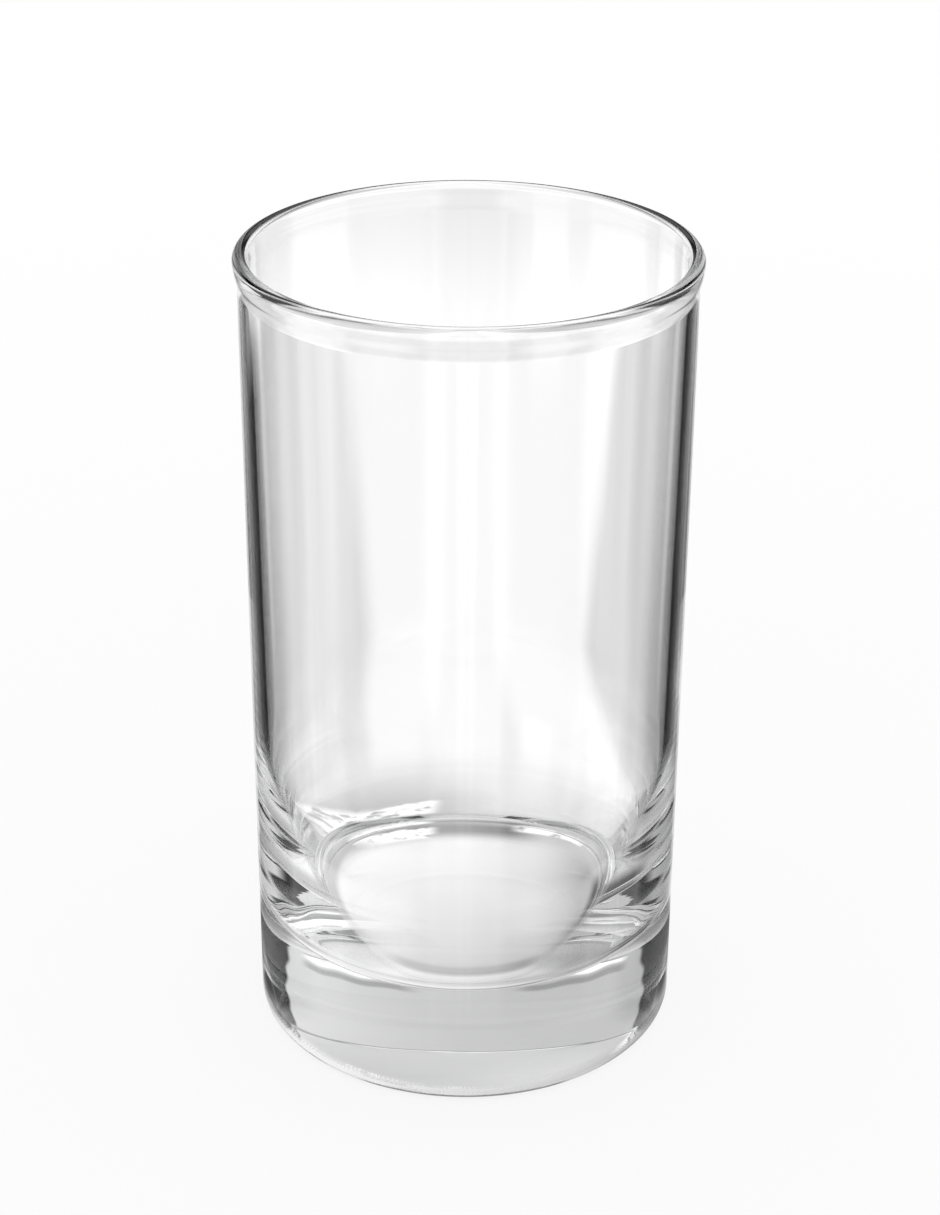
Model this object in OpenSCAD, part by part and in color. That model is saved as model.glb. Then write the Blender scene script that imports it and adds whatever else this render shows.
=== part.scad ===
// Straight-sided juice glass with a thick solid base and a rounded lip.
// It is one piece of clear glass, turned about +Z.
// The origin is at the middle of the ring that the glass stands on.

/* [Overall] */
// Height from the table to the top of the lip
height = 100; // [80:1:130]
// Outside diameter of the wall just below the lip
wall_top_d = 53; // [48:0.1:64]
// Outside diameter of the wall at the foot
foot_d = 52.7; // [48:0.1:64]

/* [Lip] */
// Thickness of the lip, which is rounded all the way over
lip_t = 1.8; // [1.4:0.1:3]
// How far the lip swells out beyond the wall
lip_swell = 0.5; // [0.2:0.1:1]
// Height over which the swell eases back into the wall
lip_ease_h = 3.2; // [2:0.2:6]

/* [Inside] */
// Level at which the inside of the wall starts to turn in and the wall to thicken
turn_in_h = 39.5; // [30:0.5:50]
// Thickness of the wall at that level
wall_t = 1.7; // [1.2:0.1:4]
// Radius of the wide curve along which the wall turns in
turn_in_r = 84; // [60:1:150]
// Thickness of the solid glass under the inside floor
base_t = 13; // [6:0.5:25]
// Radius of the small curve between the wide curve and the inside floor
floor_curve_r = 3.5; // [1:0.5:8]

/* [Foot] */
// Radius of the heel, where the outside turns under the foot
heel_r = 1.5; // [0.5:0.1:3]
// Width of the flat ring that the glass stands on
bearing_w = 4; // [2:0.5:8]
// Depth of the shallow hollow within that ring
hollow_depth = 0.4; // [0.3:0.1:2]

/* [Hidden] */
$fn = 240;

// Outside radii of the foot, the wall and the lip
foot_r = foot_d / 2;
wall_top_r = wall_top_d / 2;
lip_r = wall_top_r + lip_swell;

// Middle and inner side of the rounded lip
lip_mid_r = lip_r - lip_t / 2;
lip_mid_z = height - lip_t / 2;
lip_inner_r = lip_r - lip_t;

// The swell is two equal arcs, one turning out of the wall and one turning back into the lip
neck_z = lip_mid_z - lip_ease_h;
belly_z = lip_mid_z - lip_ease_h / 2;
belly_r = wall_top_r + lip_swell / 2;
swell_arc_r = (pow(lip_ease_h, 2) + pow(lip_swell, 2)) / (4 * lip_swell);
swell_centre_r = lip_r - swell_arc_r;

// The inside is straight down to the level where it turns in
turn_in_edge_r = foot_r + (wall_top_r - foot_r) * turn_in_h / neck_z - wall_t;
inside_lean = atan2(lip_inner_r - turn_in_edge_r, lip_mid_z - turn_in_h);

// Below it the wide curve and the small curve run into each other and into the flat floor
turn_centre_r = turn_in_edge_r - turn_in_r * cos(inside_lean);
turn_centre_z = turn_in_h + turn_in_r * sin(inside_lean);
floor_centre_z = base_t + floor_curve_r;
turn_end = asin((turn_centre_z - floor_centre_z) / (turn_in_r - floor_curve_r));
floor_flat_r = turn_centre_r + (turn_in_r - floor_curve_r) * cos(turn_end);
turn_end_r = turn_centre_r + turn_in_r * cos(turn_end);
turn_end_z = turn_centre_z - turn_in_r * sin(turn_end);

// The hollow under the foot is a shallow cap of a sphere
hollow_edge_r = foot_r - heel_r - bearing_w;
hollow_sphere_r = (pow(hollow_edge_r, 2) + pow(hollow_depth, 2)) / (2 * hollow_depth);

// Half-section of the outside below the lip, with its rounded heel, drawn solid to the axis
module outside() {
    lean = atan2(wall_top_r - foot_r, neck_z);
    heel_centre_r = foot_r - heel_r * (1 - sin(lean)) / cos(lean);
    polygon([
        [0, 0],
        [heel_centre_r, 0],
        [heel_centre_r + heel_r * cos(lean), heel_r * (1 - sin(lean))],
        [wall_top_r, neck_z],
        [0, neck_z]
    ]);
    translate([heel_centre_r, heel_r]) circle(heel_r);
}

// Half-section of the inside: straight at the top, turned in below and flat on the floor
module inside() {
    polygon([
        [0, turn_in_h],
        [turn_in_edge_r, turn_in_h],
        [lip_inner_r, lip_mid_z],
        [0, lip_mid_z]
    ]);
    intersection() {
        translate([0, turn_end_z]) square([turn_in_edge_r, turn_in_h - turn_end_z]);
        translate([turn_centre_r, turn_centre_z]) circle(turn_in_r);
    }
    polygon([
        [0, base_t],
        [floor_flat_r, base_t],
        [turn_end_r, turn_end_z],
        [0, turn_end_z]
    ]);
    translate([floor_flat_r, floor_centre_z]) circle(floor_curve_r);
}

// Half-section of the lip and of the swell below it, drawn solid to the axis
module lip() {
    translate([lip_mid_r, lip_mid_z]) circle(d = lip_t);
    translate([0, belly_z]) square([swell_centre_r, lip_ease_h / 2]);
    intersection() {
        translate([swell_centre_r, belly_z]) square([swell_arc_r, lip_ease_h / 2]);
        translate([swell_centre_r, lip_mid_z]) circle(swell_arc_r);
    }
    difference() {
        translate([0, neck_z]) square([belly_r, lip_ease_h / 2]);
        translate([wall_top_r + swell_arc_r, neck_z]) circle(swell_arc_r);
    }
}

// The whole glass: outside and lip, less the inside and the hollow under the foot
module tumbler() {
    color("lightcyan", 0.35)
        rotate_extrude()
            difference() {
                union() {
                    outside();
                    lip();
                }
                inside();
                translate([0, hollow_depth - hollow_sphere_r]) circle(hollow_sphere_r);
            }
}

tumbler();
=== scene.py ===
import math

import bpy
from mathutils import Matrix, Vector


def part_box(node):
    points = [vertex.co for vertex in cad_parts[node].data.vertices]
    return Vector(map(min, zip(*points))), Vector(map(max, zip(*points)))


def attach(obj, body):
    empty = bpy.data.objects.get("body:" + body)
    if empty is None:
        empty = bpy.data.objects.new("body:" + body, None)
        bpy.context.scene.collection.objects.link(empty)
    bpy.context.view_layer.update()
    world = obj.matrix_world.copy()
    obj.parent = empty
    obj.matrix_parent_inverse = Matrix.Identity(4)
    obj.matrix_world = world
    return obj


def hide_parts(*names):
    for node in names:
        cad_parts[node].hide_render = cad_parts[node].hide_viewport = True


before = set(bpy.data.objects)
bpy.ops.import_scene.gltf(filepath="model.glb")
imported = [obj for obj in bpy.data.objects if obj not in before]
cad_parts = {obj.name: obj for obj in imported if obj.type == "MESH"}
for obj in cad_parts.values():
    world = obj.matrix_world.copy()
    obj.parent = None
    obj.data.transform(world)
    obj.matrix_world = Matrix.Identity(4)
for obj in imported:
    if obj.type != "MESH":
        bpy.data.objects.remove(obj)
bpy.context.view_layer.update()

# A small straight-sided juice glass of clear glass, with a thick solid base and a rounded lip.
# The scene works in metres, and the glass stands on z = 0 with its axis on +Z.
MM = 0.001

# Driving sizes of the glass
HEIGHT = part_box("tumbler")[1].z
LIP_RADIUS = 27.0 * MM
LIP_THICKNESS = 1.8 * MM
LIP_SWELL = 0.5 * MM
LIP_EASE_HEIGHT = 3.2 * MM
FOOT_RADIUS = 26.35 * MM
TURN_IN_HEIGHT = 39.5 * MM
TURN_IN_RADIUS = 84.0 * MM
WALL_THICKNESS = 1.7 * MM
BASE_THICKNESS = 13.0 * MM
FLOOR_CURVE_RADIUS = 3.5 * MM
HEEL_RADIUS = 1.5 * MM
BEARING_WIDTH = 4.0 * MM
HOLLOW_DEPTH = 0.4 * MM

# Ripple of the pressed surface, which sets in above the heel, is full round the base and weak on the wall
RIPPLE_DEPTH = 0.03 * MM
RIPPLE_LENGTH = 9.0 * MM
RIPPLE_DETAIL = 0.0
RIPPLE_STRETCH = 0.6
RIPPLE_ON_WALL = 0.1
RIPPLE_HEEL_SHARES = (0.7, 2.0)
RIPPLE_BASE_SHARE = 2.0

# Finish of the glass
GLASS_INDEX = 1.52
SMEAR_LENGTH = 12.0 * MM
SMEAR_DETAIL = 4.0
SMEAR_EDGES = (0.5, 0.75)
SMEAR_ROUGHNESS = 0.005
UNEVEN_LENGTH = 4.0 * MM
UNEVEN_DETAIL = 1.0
UNEVEN_DEPTH = 0.01 * MM
UNEVEN_STRENGTH = 0.05
DEPTH_COLOUR = (0.905, 0.912, 0.908, 1.0)
DEPTH_DENSITY = 15.0
WHITE = (1.0, 1.0, 1.0, 1.0)

# Fineness of the turned mesh
TURN_STEPS = 240
ARC_STEPS = 24
STRAIGHT_STEP = 2.5 * MM
MERGE_DISTANCE = 0.001 * MM

# Camera, from the fit to the outline in the photograph
CAMERA_TURN = 315.0
CAMERA_RISE = 26.37
CAMERA_ROLL = 0.353
CAMERA_DISTANCE_OUT = 280.6 * MM
CAMERA_HEIGHT = 193.4 * MM
CAMERA_SIDE = 0.377 * MM
CAMERA_LENS = 76.2
SENSOR_WIDTH = 36.0
LIGHT_BOUNCES = 32

# The floor. To the camera its whiteness grows between two distances from the axis, given in millimetres
FLOOR_HALF_WIDTH = 6.0
FLOOR_COLOUR = (0.94, 0.94, 0.94, 1.0)
FLOOR_WHITE_REACH = (100.0, 400.0)
FLOOR_WHITENESS = (0.85, 1.0)

# Painted light and shade on the floor, which only the glass sees: a pool of light under the foot, a shaded
# ring and shade round it, and glints behind it. Places are in millimetres, and slopes are per millimetre.
# Across is to the right of the axis and away is away from the camera. Off middle is to either side, and
# fore aft is towards the camera or away from it. The other places are distances from the axis.
# Two numbers are the start and end of a smooth step, and four are the start, full, fading and end of a band.
POOL_LEVEL = 0.86
POOL_SLOPE = 0.0099
RIGHT_SHADE = 0.17
RIGHT_SHADE_ACROSS = (9.0, 19.0)
BACK_RIGHT_SHADE = 0.13
BACK_RIGHT_AWAY = (1.0, 8.0)
RIGHT_GLOW = 0.1
RIGHT_GLOW_ACROSS = (2.0, 10.0)
RIGHT_GLOW_AWAY = (-9.0, -4.0, 0.0, 8.0)
LEFT_GLOW = 0.08
LEFT_GLOW_ACROSS = (-4.0, -10.0)
LEFT_GLOW_AWAY = (8.0, 0.0)
FRONT_SHADE = 0.28
FRONT_SHADE_AWAY = (-17.0, -14.5, -13.0, -10.5)
FRONT_SHADE_OFF_MIDDLE = (13.0, 8.0)
FRONT_GLOW = 0.2
FRONT_GLOW_AWAY = (-14.5, -18.0)
RING_LEVEL = 0.36
RING_SLOPE = 0.012
RING_START = (19.5, 24.0)
RING_FRONT_GLOW = 0.35
RING_FRONT_AWAY = (-4.0, -14.0)
RING_RIGHT_GLOW = 0.5
RING_RIGHT_ACROSS = (6.0, 12.0)
RING_RIGHT_AWAY = (2.0, 8.0)
OUTER_LEVEL = 0.63
OUTER_START = (25.0, 28.0)
OUTER_RIGHT_GLOW = 0.29
OUTER_RIGHT_ACROSS = (-4.0, 8.0)
GLINT_LEVEL = 1.3
GLINTS_AWAY = (15.0, 20.0)
LEFT_GLINT = (27.5, 29.0, 36.0, 39.0)
LEFT_GLINT_ACROSS = (-3.0, -6.0)
INNER_GLINT = (21.0, 22.0, 24.8, 25.6)
INNER_GLINT_ACROSS = (-3.5, -6.0)
RIGHT_GLINT = (23.8, 24.8, 26.0, 27.0)
RIGHT_GLINT_ACROSS = (6.0, 9.0)
GLINT_BREAK_LENGTH = 3.0 * MM
GLINT_BREAK_DETAIL = 2.0
GLINT_BREAK_EDGES = (0.36, 0.5)
SIDE_SHADE = 0.85
SIDE_SHADE_OFF_MIDDLE = (26.0, 29.0)
SIDE_SHADE_FORE_AFT = (22.0, 14.0)
FLOOR_LIGHT_END = (34.0, 54.0)

# Studio light. Places are in degrees, and the rates of a sway are radians per degree.
# Turn is to the right of straight ahead of the camera, off ahead is to either side of that, and rise is up.
# Off panel is to either side of a panel's middle, and off side is to either side of a quarter turn.
# Steps and bands are written as above.
HALF_TURN = 180.0
QUARTER_TURN = 90.0
HALF_PANEL = 45.0

# Light of a low panel from its middle to the gap beside it, as shares of an eighth of a turn
PANEL_STOPS = [
    (0.0, 0.88),
    (0.12, 0.86),
    (0.15, 0.79),
    (0.19, 0.78),
    (0.24, 0.87),
    (0.3, 0.95),
    (0.4, 1.05),
    (0.45, 0.5),
    (0.52, 0.1),
    (0.6, 0.02),
]

# Shades and lights on the low panels, and the bright strip in the middle of each
LOW_TOP_RISE = (-4.0, -7.0)
FLANK_SHADE = 0.28
FLANK_OFF_PANEL = (8.0, 14.0)
FLANK_RISE = (-22.0, -31.0)
RIGHT_FLANK_SHADE = 0.13
RIGHT_FLANK_TURN = (4.0, 6.0, 30.0, 40.0)
STRIP_TURN = 0.58
STRIP_HALF_WIDTH = 7.68
STRIP_TAPER = 0.11
STRIP_FLARE = 14.0
STRIP_FLARE_RISE = (-21.0, -18.5)
STRIP_EDGE = (0.6, -0.6)
STRIP_LEVEL = 1.13
STRIP_MIDDLE_SHADE = 0.13
STRIP_MIDDLE_OFF_PANEL = (1.6, 0.6)
STRIP_TOP_SHADE = 0.15
STRIP_TOP_RISE = (-20.5, -17.5)
GAP_LIGHT_LEVEL = 0.9
GAP_LIGHT_OFF_PANEL = (33.0, 37.0)
GAP_LIGHT_TURN = (1.0, -1.0)
GAP_LIGHT_RISE = (-22.0, -20.0, -12.0, -9.0)
STEEP_LEVEL = 1.05
STEEP_RISE = (-40.0, -48.0)
STEEP_OFF_AHEAD = (40.0, 55.0)
STEEPEST_RISE = (-52.0, -60.0)

# Light about level with the glass: above the gaps between the panels, ahead, at the sides, and two wings
# that stand on either side of straight ahead
MIDDLE_FOOT_RISE = (-14.0, -11.0)
MIDDLE_FADE = (3.0, 28.0)
MIDDLE_LEVELS = (1.0, 0.05)
MIDDLE_RIGHT_SHADE = 0.5
MIDDLE_RIGHT_TURN = (-1.0, 1.0)
AHEAD_LEVEL = 0.3
AHEAD_OFF_AHEAD = (24.0, 12.0)
SIDE_LEVEL = 0.8
SIDE_OFF_SIDE = (12.0, 7.0)
SIDE_RISE = (9.0, 4.0)
WING_LEVEL = 0.6
WING_OFF_AHEAD = (18.0, 24.0, 38.0, 44.0)
WING_RISE = (-19.0, -16.0)

# The dome above, with a shaded foot, a bright sill under a dull ledge, a dark gap at each side and two
# duller patches behind the camera
DOME_START_RISE = (11.0, 16.0)
DOME_LEVEL = 0.63
DOME_RIGHT_GAIN = 0.22
DOME_SIDE_GAIN = 0.11
DOME_FOOT_SHADE = 0.85
DOME_FOOT_RISE = (24.0, 19.0)
DOME_FOOT_OFF_AHEAD = (60.0, 45.0)
SILL_LEVEL = 1.2
SILL_OFF_AHEAD = (8.0, 14.0, 38.0, 44.0)
SILL_RISE = (28.4, 28.7, 29.1, 29.4)
SILL_SWAY = 0.12
SILL_SWAY_RATE = 0.5
LEDGE_SHADE = 0.4
LEDGE_RISE = (29.3, 29.8, 30.2, 30.7)
SIDE_GAP_SHADE = 0.97
SIDE_GAP_START = (56.5, 59.5)
SIDE_GAP_END = (72.0, 59.0)
SIDE_GAP_LEAN = 1.3
SIDE_GAP_LEAN_TOP = 36.0
SIDE_GAP_SWAY = 0.8
SIDE_GAP_SWAY_RATE = 1.9
SIDE_GAP_EXTRA = 18.0
SIDE_GAP_EXTRA_RISE = (25.0, 30.0)
BACK_LEVEL = 0.4
BACK_RIGHT_TURN = (92.0, 100.0, 156.0, 163.0)
BACK_LEFT_TURN = (-156.0, -149.0, -127.0, -120.0)
BACK_RISE = (26.0, 31.0)


class Signal:
    """An output socket. Sums written with it add Math nodes to its tree."""

    def __init__(self, net, socket):
        self.net = net
        self.socket = socket

    def out(self, name):
        return Signal(self.net, self.socket.node.outputs[name])

    def math(self, operation, *others):
        return self.net.math(operation, self, *others)

    def __add__(self, other):
        return self.net.math("ADD", self, other)

    def __radd__(self, other):
        return self.net.math("ADD", other, self)

    def __sub__(self, other):
        return self.net.math("SUBTRACT", self, other)

    def __rsub__(self, other):
        return self.net.math("SUBTRACT", other, self)

    def __mul__(self, other):
        return self.net.math("MULTIPLY", self, other)

    def __rmul__(self, other):
        return self.net.math("MULTIPLY", other, self)

    def __truediv__(self, other):
        return self.net.math("DIVIDE", self, other)

    def __rtruediv__(self, other):
        return self.net.math("DIVIDE", other, self)


class Net:
    """Adds nodes to one tree, of shaders or of geometry."""

    def __init__(self, tree):
        self.tree = tree
        tree.nodes.clear()

    def feed(self, socket, value):
        if isinstance(value, Signal):
            self.tree.links.new(value.socket, socket)
        else:
            socket.default_value = value

    def node(self, kind, settings=None, sockets=None, output=0):
        """Adds a node, with its settings first and then the values or links of its sockets."""
        made = self.tree.nodes.new(kind)
        settings = dict(settings or {})
        stops = settings.pop("stops", [])
        items = settings.pop("items", 0)
        for name, value in settings.items():
            setattr(made, name, value)
        if stops:
            set_stops(made.color_ramp, stops)
        while items and len(made.index_switch_items) < items:
            made.index_switch_items.new()
        for key, value in (sockets or {}).items():
            self.feed(made.inputs[key], value)
        return Signal(self, made.outputs[output]) if len(made.outputs) else None

    def math(self, operation, *values):
        return self.node("ShaderNodeMath", {"operation": operation}, dict(enumerate(values)))

    def vector(self, x=0.0, y=0.0, z=0.0):
        return self.node("ShaderNodeCombineXYZ", None, {"X": x, "Y": y, "Z": z})

    def noise(self, place, length, detail):
        sockets = {"Vector": place, "Scale": 1 / length, "Detail": detail}
        return self.node("ShaderNodeTexNoise", None, sockets)

    def smooth(self, value, start, end, low=0.0, high=1.0):
        """Goes smoothly from low to high as value goes from start to end."""
        sockets = {"Value": value, "From Min": start, "From Max": end, "To Min": low, "To Max": high}
        return self.node("ShaderNodeMapRange", {"interpolation_type": "SMOOTHSTEP"}, sockets)

    def band(self, value, start, full, fading, end):
        """Is 1 while value is between full and fading, and goes smoothly to 0 at start and end."""
        return self.smooth(value, start, full) * self.smooth(value, end, fading)


def set_stops(ramp, stops):
    while len(ramp.elements) < len(stops):
        ramp.elements.new(1.0)
    for element, (place, level) in zip(ramp.elements, stops):
        element.position = place
        element.color = (level, level, level, 1.0)


def blend(first, second, share):
    """Goes from first to second as share goes from 0 to 1."""
    return first + (second - first) * share


def turning_tree():
    """The half-section of the glass, rounded at its corners and turned round the axis."""
    tree = bpy.data.node_groups.new("turned_glass", "GeometryNodeTree")
    net = Net(tree)
    sizes = {
        "Height": HEIGHT,
        "Lip Radius": LIP_RADIUS,
        "Lip Thickness": LIP_THICKNESS,
        "Lip Swell": LIP_SWELL,
        "Lip Ease Height": LIP_EASE_HEIGHT,
        "Foot Radius": FOOT_RADIUS,
        "Turn In Height": TURN_IN_HEIGHT,
        "Turn In Radius": TURN_IN_RADIUS,
        "Wall Thickness": WALL_THICKNESS,
        "Base Thickness": BASE_THICKNESS,
        "Floor Curve Radius": FLOOR_CURVE_RADIUS,
        "Heel Radius": HEEL_RADIUS,
        "Bearing Width": BEARING_WIDTH,
        "Hollow Depth": HOLLOW_DEPTH,
        "Ripple Depth": RIPPLE_DEPTH,
    }
    for name in sizes:
        tree.interface.new_socket(name, in_out="INPUT", socket_type="NodeSocketFloat")
    tree.interface.new_socket("Turn Steps", in_out="INPUT", socket_type="NodeSocketInt")
    tree.interface.new_socket("Glass", in_out="INPUT", socket_type="NodeSocketMaterial")
    tree.interface.new_socket("Mesh", in_out="OUTPUT", socket_type="NodeSocketGeometry")
    given = net.node("NodeGroupInput")
    height = given.out("Height")
    lip_r = given.out("Lip Radius")
    lip_t = given.out("Lip Thickness")
    swell = given.out("Lip Swell")
    ease_h = given.out("Lip Ease Height")
    foot_r = given.out("Foot Radius")
    turn_h = given.out("Turn In Height")
    turn_r = given.out("Turn In Radius")
    wall_t = given.out("Wall Thickness")
    base_t = given.out("Base Thickness")
    floor_r = given.out("Floor Curve Radius")
    heel_r = given.out("Heel Radius")
    ring_w = given.out("Bearing Width")
    hollow_h = given.out("Hollow Depth")
    ripple = given.out("Ripple Depth")
    turns = given.out("Turn Steps")

    # The swell under the lip is two equal arcs, and the hollow under the foot is one
    lip_mid_z = height - lip_t / 2
    neck_z = lip_mid_z - ease_h
    wall_top_r = lip_r - swell
    swell_chord = ease_h * ease_h + swell * swell
    swell_arc_r = swell_chord / (4 * swell)
    swell_turn = swell_chord / (4 * ease_h)
    hollow_edge_r = foot_r - heel_r - ring_w
    hollow_chord = hollow_edge_r * hollow_edge_r + hollow_h * hollow_h
    hollow_arc_r = hollow_chord / (2 * hollow_h)
    hollow_turn = hollow_chord / (2 * hollow_edge_r)

    # The inside turns in along a wide arc, which runs into a small one at the floor
    turn_edge_r = foot_r + (wall_top_r - foot_r) * turn_h / neck_z - wall_t
    lean = (lip_r - lip_t - turn_edge_r).math("ARCTAN2", lip_mid_z - turn_h)
    turn_r_centre = turn_edge_r - turn_r * lean.math("COSINE")
    turn_z_centre = turn_h + turn_r * lean.math("SINE")
    turn_end = ((turn_z_centre - base_t - floor_r) / (turn_r - floor_r)).math("ARCSINE")
    turn_reach = turn_r * ((turn_end - lean) / 2).math("TANGENT")
    floor_flat_r = turn_r_centre + (turn_r - floor_r) * turn_end.math("COSINE")
    floor_reach = floor_r * ((math.pi / 2 - turn_end) / 2).math("TANGENT")

    # Corners from the axis under the foot to the axis on the inside floor: radius, height, rounding
    corners = [
        (0.0, hollow_h, 0.0),
        (hollow_turn, hollow_h, hollow_arc_r),
        (hollow_edge_r, 0.0, 0.0),
        (foot_r, 0.0, heel_r),
        (wall_top_r, neck_z + swell_turn, swell_arc_r),
        (lip_r, lip_mid_z - swell_turn, swell_arc_r),
        (lip_r, height, lip_t / 2),
        (lip_r - lip_t, height, lip_t / 2),
        (turn_edge_r - turn_reach * lean.math("SINE"), turn_h - turn_reach * lean.math("COSINE"), turn_r),
        (floor_flat_r + floor_reach, base_t, floor_r),
        (0.0, base_t, 0.0),
    ]
    index = net.node("GeometryNodeInputIndex")
    count = len(corners)
    places = {str(i): net.vector(x=r, z=z) for i, (r, z, _) in enumerate(corners)}
    roundings = {str(i): rounding for i, (_, _, rounding) in enumerate(corners)}
    place = net.node(
        "GeometryNodeIndexSwitch", {"data_type": "VECTOR", "items": count}, {"Index": index, **places}
    )
    rounding = net.node(
        "GeometryNodeIndexSwitch", {"data_type": "FLOAT", "items": count}, {"Index": index, **roundings}
    )
    line = net.node("GeometryNodeMeshLine", None, {"Count": count})
    line = net.node("GeometryNodeSetPosition", None, {"Geometry": line, "Position": place})
    section = net.node("GeometryNodeMeshToCurve", None, {"Mesh": line})
    section = net.node(
        "GeometryNodeFilletCurve",
        {"mode": "POLY"},
        {"Curve": section, "Radius": rounding, "Count": ARC_STEPS, "Limit Radius": True},
    )
    here = net.node("GeometryNodeInputPosition")
    after = net.node(
        "GeometryNodeFieldAtIndex", {"data_type": "FLOAT_VECTOR"}, {"Index": index + 1, "Value": here}
    )
    reach = net.node("ShaderNodeVectorMath", {"operation": "DISTANCE"}, {0: here, 1: after}, "Value")
    cuts = (reach / STRAIGHT_STEP).math("FLOOR")
    section = net.node("GeometryNodeSubdivideCurve", None, {"Curve": section, "Cuts": cuts})

    # A grid takes one row for each point of the section, and closes on itself round the axis
    points = net.node(
        "GeometryNodeAttributeDomainSize", {"component": "CURVE"}, {"Geometry": section}, "Point Count"
    )
    columns = turns + 1
    grid = net.node("GeometryNodeMeshGrid", None, {"Vertices X": points, "Vertices Y": columns})
    row = (index / columns).math("FLOOR")
    angle = (index - row * columns) / turns * math.tau
    spot = net.node(
        "GeometryNodeSampleIndex",
        {"data_type": "FLOAT_VECTOR", "domain": "POINT"},
        {"Geometry": section, "Value": here, "Index": row},
    )
    spot = net.node("ShaderNodeSeparateXYZ", None, {"Vector": spot})
    radius = spot.out("X")
    turned = net.vector(radius * angle.math("COSINE"), radius * angle.math("SINE"), spot.out("Z"))
    glass = net.node("GeometryNodeSetPosition", None, {"Geometry": grid, "Position": turned})
    glass = net.node("GeometryNodeMergeByDistance", None, {"Geometry": glass, "Distance": MERGE_DISTANCE})
    glass = net.node("GeometryNodeFlipFaces", None, {"Mesh": glass})

    # The pressed surface is faintly rippled, but not where it stands or at the lip
    stretch = (1.0, 1.0, RIPPLE_STRETCH)
    stretched = net.node("ShaderNodeVectorMath", {"operation": "MULTIPLY"}, {0: here, 1: stretch})
    wave = net.noise(stretched, RIPPLE_LENGTH, RIPPLE_DETAIL)
    level = net.node("ShaderNodeSeparateXYZ", None, {"Vector": here}).out("Z")
    set_in, full = (heel_r * share for share in RIPPLE_HEEL_SHARES)
    kept = net.smooth(level, set_in, full) * net.smooth(level, neck_z, neck_z - ease_h)
    kept = kept * net.smooth(level, turn_h, base_t * RIPPLE_BASE_SHARE, RIPPLE_ON_WALL, 1.0)
    lift = (2 * wave - 1) * ripple * kept
    normal = net.node("GeometryNodeInputNormal")
    shift = net.node("ShaderNodeVectorMath", {"operation": "SCALE"}, {"Vector": normal, "Scale": lift})
    glass = net.node("GeometryNodeSetPosition", None, {"Geometry": glass, "Offset": shift})
    glass = net.node("GeometryNodeSetShadeSmooth", None, {"Geometry": glass})
    glass = net.node("GeometryNodeRealizeInstances", None, {"Geometry": glass})
    glass = net.node("GeometryNodeSetMaterial", None, {"Geometry": glass, "Material": given.out("Glass")})
    net.node("NodeGroupOutput", None, {"Mesh": glass})
    return tree, {**sizes, "Turn Steps": TURN_STEPS}


def turned_piece(name, material):
    """Runs the turning tree with its sizes and keeps the result as a plain mesh."""
    tree, sizes = turning_tree()
    piece = bpy.data.objects.new(name, bpy.data.meshes.new(name))
    bpy.context.scene.collection.objects.link(piece)
    turning = piece.modifiers.new("turning", "NODES")
    turning.node_group = tree
    for item in tree.interface.items_tree:
        if item.in_out == "INPUT":
            turning[item.identifier] = sizes.get(item.name, material)
    evaluated = piece.evaluated_get(bpy.context.evaluated_depsgraph_get())
    mesh = bpy.data.meshes.new_from_object(evaluated)
    piece.modifiers.remove(turning)
    piece.data = mesh
    return piece


def clear_glass():
    """Clear pressed glass: polished, faintly smeared and uneven, with a trace of green in its depth."""
    material = bpy.data.materials.new("clear_glass")
    material.use_nodes = True
    net = Net(material.node_tree)
    place = net.node("ShaderNodeTexCoord", None, None, "Object")
    smears = net.noise(place, SMEAR_LENGTH, SMEAR_DETAIL)
    unevenness = net.noise(place, UNEVEN_LENGTH, UNEVEN_DETAIL)
    skin = net.node(
        "ShaderNodeBump", None, {"Height": unevenness, "Strength": UNEVEN_STRENGTH, "Distance": UNEVEN_DEPTH}
    )
    glass = net.node(
        "ShaderNodeBsdfPrincipled",
        None,
        {
            "Base Color": WHITE,
            "Roughness": SMEAR_ROUGHNESS * net.smooth(smears, *SMEAR_EDGES),
            "IOR": GLASS_INDEX,
            "Transmission Weight": 1.0,
            "Normal": skin,
        },
    )
    depth = net.node("ShaderNodeVolumeAbsorption", None, {"Color": DEPTH_COLOUR, "Density": DEPTH_DENSITY})
    net.node("ShaderNodeOutputMaterial", None, {"Surface": glass, "Volume": depth})
    return material


def studio_axes(net, vector):
    """Turns a place or a direction about +Z: x is then to the camera's right and y away from it."""
    sockets = {"Vector": vector, "Angle": -math.radians(CAMERA_TURN)}
    return net.node("ShaderNodeVectorRotate", {"rotation_type": "Z_AXIS"}, sockets)


def floor_pool(net, x, y):
    """A painted pool of light under the foot, which falls off to the right and towards the front, with
    painted shade and glow patches.
    """
    pool = POOL_LEVEL + POOL_SLOPE * (y - x)
    right_shade = RIGHT_SHADE + BACK_RIGHT_SHADE * net.smooth(y, *BACK_RIGHT_AWAY)
    pool = pool - right_shade * net.smooth(x, *RIGHT_SHADE_ACROSS)
    pool = pool + RIGHT_GLOW * net.smooth(x, *RIGHT_GLOW_ACROSS) * net.band(y, *RIGHT_GLOW_AWAY)
    pool = pool + LEFT_GLOW * net.smooth(x, *LEFT_GLOW_ACROSS) * net.smooth(y, *LEFT_GLOW_AWAY)
    front_shade = net.band(y, *FRONT_SHADE_AWAY) * net.smooth(x.math("ABSOLUTE"), *FRONT_SHADE_OFF_MIDDLE)
    return pool - FRONT_SHADE * front_shade + FRONT_GLOW * net.smooth(y, *FRONT_GLOW_AWAY)


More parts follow.
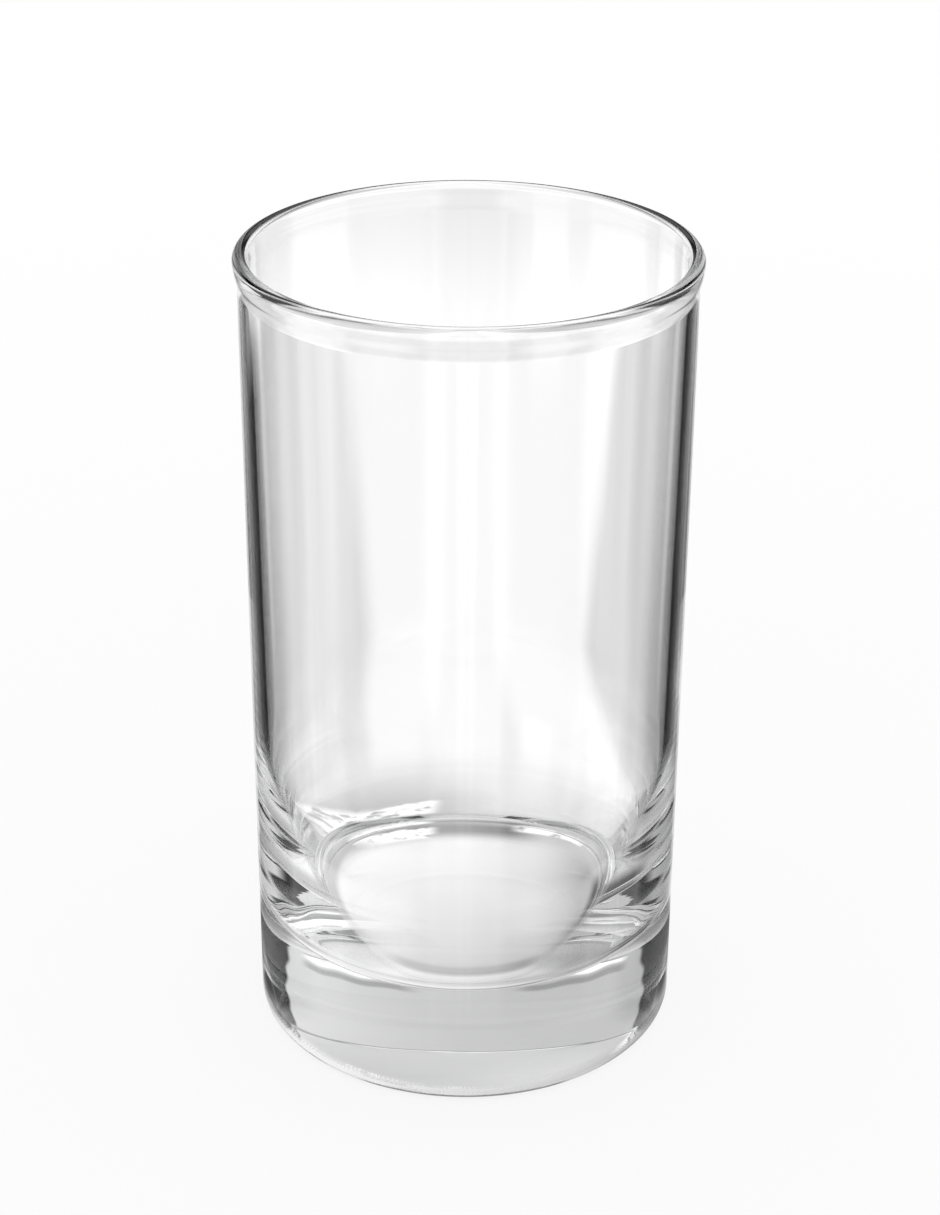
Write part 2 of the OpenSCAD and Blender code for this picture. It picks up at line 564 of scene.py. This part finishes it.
def floor_glints(net, place, x, y, reach):
    """Painted glints: broken arcs of light painted on the floor behind the glass."""
    left = net.band(reach, *LEFT_GLINT) * net.smooth(x, *LEFT_GLINT_ACROSS)
    inner = net.band(reach, *INNER_GLINT) * net.smooth(x, *INNER_GLINT_ACROSS)
    right = net.band(reach, *RIGHT_GLINT) * net.smooth(x, *RIGHT_GLINT_ACROSS)
    arcs = left.math("MAXIMUM", inner).math("MAXIMUM", right)
    breaks = net.noise(place, GLINT_BREAK_LENGTH, GLINT_BREAK_DETAIL)
    return arcs * net.smooth(y, *GLINTS_AWAY) * net.smooth(breaks, *GLINT_BREAK_EDGES)


def floor_finish():
    """A pale matt floor. Seen in the glass, it glows with painted light under the foot and painted shade
    round it.
    """
    material = bpy.data.materials.new("pale_floor")
    material.use_nodes = True
    net = Net(material.node_tree)
    place = studio_axes(net, net.node("ShaderNodeTexCoord", None, None, "Object"))
    axes = net.node("ShaderNodeSeparateXYZ", None, {"Vector": place})
    x = axes.out("X") / MM
    y = axes.out("Y") / MM
    reach = (x * x + y * y).math("SQRT")

    # Painted light and shade: the pool, the shaded ring under the edge of the foot, the floor outside it,
    # the glints and the shade beside the foot
    ring = RING_LEVEL - RING_SLOPE * x + RING_FRONT_GLOW * net.smooth(y, *RING_FRONT_AWAY)
    ring = ring + RING_RIGHT_GLOW * net.smooth(x, *RING_RIGHT_ACROSS) * net.smooth(y, *RING_RIGHT_AWAY)
    outer = OUTER_LEVEL + OUTER_RIGHT_GLOW * net.smooth(x, *OUTER_RIGHT_ACROSS)
    level = blend(floor_pool(net, x, y), ring, net.smooth(reach, *RING_START))
    level = blend(level, outer, net.smooth(reach, *OUTER_START))
    level = blend(level, GLINT_LEVEL, floor_glints(net, place, x, y, reach))
    beside = net.smooth(x.math("ABSOLUTE"), *SIDE_SHADE_OFF_MIDDLE)
    beside = beside * net.smooth(y.math("ABSOLUTE"), *SIDE_SHADE_FORE_AFT)
    painted_light = net.node("ShaderNodeEmission", None, {"Color": level * (1 - SIDE_SHADE * beside)})

    # Far out, the glass looks through the floor into the studio
    far = net.node("ShaderNodeBsdfTransparent")
    in_glass = net.node(
        "ShaderNodeMixShader", None, {0: net.smooth(reach, *FLOOR_LIGHT_END), 1: painted_light, 2: far}
    )

    # The camera sees the floor nearly white, with the shadow of the glass on it
    matt = net.node("ShaderNodeBsdfDiffuse", None, {"Color": FLOOR_COLOUR})
    white = net.node("ShaderNodeEmission", None, {"Color": WHITE})
    ray = net.node("ShaderNodeLightPath")
    whiteness = net.smooth(reach, *FLOOR_WHITE_REACH, *FLOOR_WHITENESS) * ray.out("Is Camera Ray")
    in_view = net.node("ShaderNodeMixShader", None, {0: whiteness, 1: matt, 2: white})
    through = ray.out("Is Glossy Ray").math("MAXIMUM", ray.out("Is Transmission Ray"))
    shown = net.node("ShaderNodeMixShader", None, {0: through, 1: in_view, 2: in_glass})
    net.node("ShaderNodeOutputMaterial", None, {"Surface": shown})
    return material


def low_panels(net, turn, rise):
    """Four bright panels low down round the glass, with dark gaps between them."""
    off_panel = turn.math("PINGPONG", HALF_PANEL)
    off_ahead = turn.math("PINGPONG", HALF_TURN)
    level = net.node("ShaderNodeValToRGB", {"stops": PANEL_STOPS}, {"Fac": off_panel / HALF_PANEL})
    flanks = net.smooth(off_panel, *FLANK_OFF_PANEL) * net.smooth(rise, *FLANK_RISE)
    level = level * (1 - FLANK_SHADE * flanks)
    level = level * (1 - RIGHT_FLANK_SHADE * net.band(turn, *RIGHT_FLANK_TURN))

    # The strip narrows downwards and flares at its top
    strip_edge = STRIP_HALF_WIDTH + STRIP_TAPER * rise + STRIP_FLARE * net.smooth(rise, *STRIP_FLARE_RISE)
    off_strip = (turn - STRIP_TURN).math("PINGPONG", HALF_PANEL) - strip_edge
    strip = STRIP_LEVEL - STRIP_MIDDLE_SHADE * net.smooth(off_panel, *STRIP_MIDDLE_OFF_PANEL)
    strip = strip - STRIP_TOP_SHADE * net.smooth(rise, *STRIP_TOP_RISE)
    level = blend(level, strip, net.smooth(off_strip, *STRIP_EDGE))

    # A light stands in the gaps on the left, and steeply below the panels it is bright all over
    gap_light = net.smooth(off_panel, *GAP_LIGHT_OFF_PANEL) * net.smooth(turn, *GAP_LIGHT_TURN)
    gap_light = gap_light * net.band(rise, *GAP_LIGHT_RISE)
    level = level.math("MAXIMUM", GAP_LIGHT_LEVEL * gap_light)
    steep = net.smooth(rise, *STEEP_RISE) * net.smooth(off_ahead, *STEEP_OFF_AHEAD)
    level = blend(level, STEEP_LEVEL, steep.math("MAXIMUM", net.smooth(rise, *STEEPEST_RISE)))
    return level * net.smooth(rise, *LOW_TOP_RISE)


def middle_light(net, turn, rise):
    """Light about level with the glass, brightest above the gaps between the low panels."""
    off_ahead = turn.math("PINGPONG", HALF_TURN)
    off_side = (off_ahead - QUARTER_TURN).math("ABSOLUTE")
    off_gap = HALF_PANEL - turn.math("PINGPONG", HALF_PANEL)
    level = net.smooth(off_gap, *MIDDLE_FADE, *MIDDLE_LEVELS)
    level = level * (1 - MIDDLE_RIGHT_SHADE * net.smooth(turn, *MIDDLE_RIGHT_TURN))
    level = level.math("MAXIMUM", AHEAD_LEVEL * net.smooth(off_ahead, *AHEAD_OFF_AHEAD))
    side = net.smooth(off_side, *SIDE_OFF_SIDE) * net.smooth(rise, *SIDE_RISE)
    level = level.math("MAXIMUM", SIDE_LEVEL * side)
    return level * net.smooth(rise, *MIDDLE_FOOT_RISE)


def upper_dome(net, across, turn, rise, wings):
    """The wide soft light overhead, brightest on the right."""
    off_ahead = turn.math("PINGPONG", HALF_TURN)
    level = DOME_LEVEL + DOME_RIGHT_GAIN * across + DOME_SIDE_GAIN * across.math("ABSOLUTE")
    foot = net.smooth(rise, *DOME_FOOT_RISE) * net.smooth(off_ahead, *DOME_FOOT_OFF_AHEAD)
    level = level * (1 - DOME_FOOT_SHADE * foot * (1 - wings))

    # The sill and the ledge over it sway a little, and run on both sides of straight ahead
    sill_rise = rise + SILL_SWAY * (SILL_SWAY_RATE * turn).math("SINE")
    sill_run = net.band(off_ahead, *SILL_OFF_AHEAD)
    level = blend(level, SILL_LEVEL, net.band(sill_rise, *SILL_RISE) * sill_run)
    level = level * (1 - LEDGE_SHADE * net.band(sill_rise, *LEDGE_RISE) * sill_run)

    # The gap at each side leans ahead towards its foot, and reaches further back higher up
    gap_lean = SIDE_GAP_LEAN * (SIDE_GAP_LEAN_TOP - rise).math("MAXIMUM", 0.0)
    gap_start = off_ahead + gap_lean + SIDE_GAP_SWAY * (SIDE_GAP_SWAY_RATE * rise).math("SINE")
    gap_end = off_ahead - SIDE_GAP_EXTRA * net.smooth(rise, *SIDE_GAP_EXTRA_RISE)
    side_gap = net.smooth(gap_start, *SIDE_GAP_START) * net.smooth(gap_end, *SIDE_GAP_END)
    level = level * (1 - SIDE_GAP_SHADE * side_gap)

    back = net.band(turn, *BACK_RIGHT_TURN).math("MAXIMUM", net.band(turn, *BACK_LEFT_TURN))
    return blend(level, BACK_LEVEL, back * net.smooth(rise, *BACK_RISE))


def studio_world():
    """Soft bright panels all round, with darker gaps between them that draw the edges of the glass."""
    world = bpy.data.worlds.new("studio")
    bpy.context.scene.world = world
    world.use_nodes = True
    net = Net(world.node_tree)
    way = studio_axes(net, net.node("ShaderNodeTexCoord", None, None, "Generated"))
    way = net.node("ShaderNodeSeparateXYZ", None, {"Vector": way})
    across = way.out("X")
    turn = across.math("ARCTAN2", way.out("Y")).math("DEGREES")
    rise = way.out("Z").math("ARCSINE").math("DEGREES")

    wings = net.band(turn.math("PINGPONG", HALF_TURN), *WING_OFF_AHEAD)
    panels = low_panels(net, turn, rise).math("MAXIMUM", middle_light(net, turn, rise))
    panels = panels.math("MAXIMUM", WING_LEVEL * wings * net.smooth(rise, *WING_RISE))
    dome = upper_dome(net, across, turn, rise, wings)
    studio = blend(panels, dome, net.smooth(rise, *DOME_START_RISE))

    # The camera and matt surfaces see plain white instead
    ray = net.node("ShaderNodeLightPath")
    plain = ray.out("Is Camera Ray").math("MAXIMUM", ray.out("Is Diffuse Ray"))
    light = net.node("ShaderNodeBackground", None, {"Color": blend(studio, 1.0, plain)})
    net.node("ShaderNodeOutputWorld", None, {"Surface": light})


def pale_floor():
    """A wide flat floor at table level."""
    sides = ((-1, -1), (1, -1), (1, 1), (-1, 1))
    corners = [(x * FLOOR_HALF_WIDTH, y * FLOOR_HALF_WIDTH, 0.0) for x, y in sides]
    mesh = bpy.data.meshes.new("floor")
    mesh.from_pydata(corners, [], [(0, 1, 2, 3)])
    mesh.materials.append(floor_finish())
    floor = bpy.data.objects.new("floor", mesh)
    bpy.context.scene.collection.objects.link(floor)


def photo_camera():
    """The camera of the photograph, turned round the axis of the glass to its place."""
    data = bpy.data.cameras.new("camera")
    data.lens = CAMERA_LENS
    data.sensor_width = SENSOR_WIDTH
    camera = bpy.data.objects.new("camera", data)
    bpy.context.scene.collection.objects.link(camera)
    stand = Matrix.Translation((CAMERA_SIDE, -CAMERA_DISTANCE_OUT, CAMERA_HEIGHT))
    tilt = Matrix.Rotation(math.radians(QUARTER_TURN - CAMERA_RISE), 4, "X")
    roll = Matrix.Rotation(math.radians(CAMERA_ROLL), 4, "Z")
    camera.matrix_world = Matrix.Rotation(math.radians(CAMERA_TURN), 4, "Z") @ stand @ tilt @ roll
    bpy.context.scene.camera = camera


def light_paths():
    """Enough bounces for light that runs round inside the thick base."""
    cycles = bpy.context.scene.cycles
    cycles.max_bounces = LIGHT_BOUNCES
    cycles.glossy_bounces = LIGHT_BOUNCES
    cycles.transmission_bounces = LIGHT_BOUNCES
    cycles.transparent_max_bounces = LIGHT_BOUNCES


photo_camera()
studio_world()
pale_floor()
light_paths()
bpy.context.scene.view_settings.view_transform = "Standard"

glass = turned_piece("glass", clear_glass())
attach(glass, "root")
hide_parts("tumbler")
